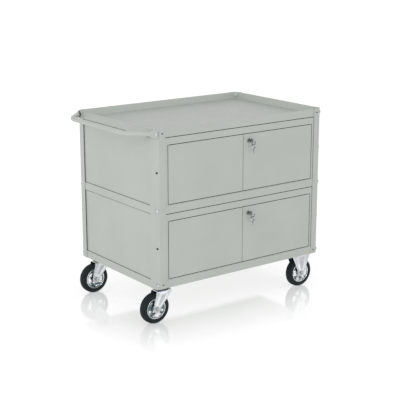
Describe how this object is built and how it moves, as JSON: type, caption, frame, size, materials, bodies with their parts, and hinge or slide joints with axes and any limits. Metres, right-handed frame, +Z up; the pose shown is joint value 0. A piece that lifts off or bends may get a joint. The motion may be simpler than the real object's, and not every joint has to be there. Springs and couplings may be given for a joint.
{
  "type": "housekeeping cart",
  "caption": "Steel service cart with an open top tray, two stacked cupboards with lockable double doors, a tubular push handle and rubber-tyred castors, two swivelling and two fixed.",
  "frame": {"origin": "on the floor, below the middle of the whole cart in plan, handle and keys included", "axes": "+X along the cart away from the handle, +Y from the doors to the rear panels, +Z up"},
  "size_m": [1.1046, 0.711, 0.929],
  "materials": {
    "powder_coat": "fine-textured grey powder coat, satin",
    "zinc_plate": "bright zinc plate",
    "nickel_plate": "polished nickel plate",
    "tyre_rubber": "black rubber with a fine slanted tread"
  },
  "bodies": {
    "cart_body": {"axle_front_right": "zinc_plate", "axle_rear_right": "zinc_plate", "bolt_front_left_bottom": "zinc_plate", "bolt_front_left_middle": "zinc_plate", "bolt_front_left_top": "zinc_plate", "bolt_front_right_bottom": "zinc_plate", "bolt_front_right_middle": "zinc_plate", "bolt_front_right_top": "zinc_plate", "bolt_rear_left_bottom": "zinc_plate", "bolt_rear_left_middle": "zinc_plate", "bolt_rear_left_top": "zinc_plate", "bolt_rear_right_bottom": "zinc_plate", "bolt_rear_right_middle": "zinc_plate", "bolt_rear_right_top": "zinc_plate", "bottom_tray": "powder_coat", "fixed_fork_front_right": "zinc_plate", "fixed_fork_rear_right": "zinc_plate", "lower_front_frame": "powder_coat", "lower_left_end_panel": "powder_coat", "lower_left_hinge_pin": "zinc_plate", "lower_rear_panel": "powder_coat", "lower_right_end_panel": "powder_coat", "lower_right_hinge_pin": "zinc_plate", "middle_tray": "powder_coat", "post_front_left": "powder_coat", "post_front_right": "powder_coat", "post_rear_left": "powder_coat", "post_rear_right": "powder_coat", "push_handle": "powder_coat", "swivel_plate_front_left": "zinc_plate", "swivel_plate_rear_left": "zinc_plate", "top_tray": "powder_coat", "upper_front_frame": "powder_coat", "upper_left_end_panel": "powder_coat", "upper_left_hinge_pin": "zinc_plate", "upper_rear_panel": "powder_coat", "upper_right_end_panel": "powder_coat", "upper_right_hinge_pin": "zinc_plate"},
    "door_upper_left": {"upper_left_door": "powder_coat"},
    "door_upper_right": {"upper_right_door": "powder_coat", "upper_lock_body": "nickel_plate"},
    "lock_upper": {"upper_lock_plug_and_cam": "nickel_plate", "upper_key": "nickel_plate"},
    "door_lower_left": {"lower_left_door": "powder_coat"},
    "door_lower_right": {"lower_right_door": "powder_coat", "lower_lock_body": "nickel_plate"},
    "lock_lower": {"lower_lock_plug_and_cam": "nickel_plate", "lower_key": "nickel_plate"},
    "swivel_front_left": {"swivel_fork_front_left": "zinc_plate", "axle_front_left": "zinc_plate"},
    "swivel_rear_left": {"swivel_fork_rear_left": "zinc_plate", "axle_rear_left": "zinc_plate"},
    "wheel_front_left": {"rim_front_left": "zinc_plate", "tyre_front_left": "tyre_rubber"},
    "wheel_rear_left": {"rim_rear_left": "zinc_plate", "tyre_rear_left": "tyre_rubber"},
    "wheel_front_right": {"rim_front_right": "zinc_plate", "tyre_front_right": "tyre_rubber"},
    "wheel_rear_right": {"rim_rear_right": "zinc_plate", "tyre_rear_right": "tyre_rubber"}
  },
  "joints": [
    {"name": "upper_left_door_hinge", "type": "hinge", "parent": "cart_body", "child": "door_upper_left", "pos_m": [-0.37791, -0.32123, 0.717], "axis": [0, 0, -1], "range_deg": [0, 110]},
    {"name": "upper_right_door_hinge", "type": "hinge", "parent": "cart_body", "child": "door_upper_right", "pos_m": [0.47939, -0.32123, 0.717], "axis": [0, 0, 1], "range_deg": [0, 110]},
    {"name": "upper_lock_turn", "type": "hinge", "parent": "door_upper_right", "child": "lock_upper", "pos_m": [0.08574, -0.32523, 0.82115], "axis": [0, -1, 0], "range_deg": [0, 90]},
    {"name": "lower_left_door_hinge", "type": "hinge", "parent": "cart_body", "child": "door_lower_left", "pos_m": [-0.37791, -0.32123, 0.363], "axis": [0, 0, -1], "range_deg": [0, 110]},
    {"name": "lower_right_door_hinge", "type": "hinge", "parent": "cart_body", "child": "door_lower_right", "pos_m": [0.47939, -0.32123, 0.363], "axis": [0, 0, 1], "range_deg": [0, 110]},
    {"name": "lower_lock_turn", "type": "hinge", "parent": "door_lower_right", "child": "lock_lower", "pos_m": [0.08574, -0.32523, 0.46715], "axis": [0, -1, 0], "range_deg": [0, 90]},
    {"name": "front_left_swivel", "type": "hinge", "parent": "cart_body", "child": "swivel_front_left", "pos_m": [-0.38126, -0.25953, 0.165], "axis": [0, 0, 1], "continuous": true},
    {"name": "front_left_wheel_spin", "type": "hinge", "parent": "swivel_front_left", "child": "wheel_front_left", "pos_m": [-0.42126, -0.25953, 0.07453], "axis": [0, 1, 0], "continuous": true},
    {"name": "rear_left_swivel", "type": "hinge", "parent": "cart_body", "child": "swivel_rear_left", "pos_m": [-0.38126, 0.28447, 0.165], "axis": [0, 0, 1], "continuous": true},
    {"name": "rear_left_wheel_spin", "type": "hinge", "parent": "swivel_rear_left", "child": "wheel_rear_left", "pos_m": [-0.42126, 0.28447, 0.07453], "axis": [0, 1, 0], "continuous": true},
    {"name": "front_right_wheel_spin", "type": "hinge", "parent": "cart_body", "child": "wheel_front_right", "pos_m": [0.47774, -0.25953, 0.07453], "axis": [0, 1, 0], "continuous": true},
    {"name": "rear_right_wheel_spin", "type": "hinge", "parent": "cart_body", "child": "wheel_rear_right", "pos_m": [0.47774, 0.28447, 0.07453], "axis": [0, 1, 0], "continuous": true}
  ]
}
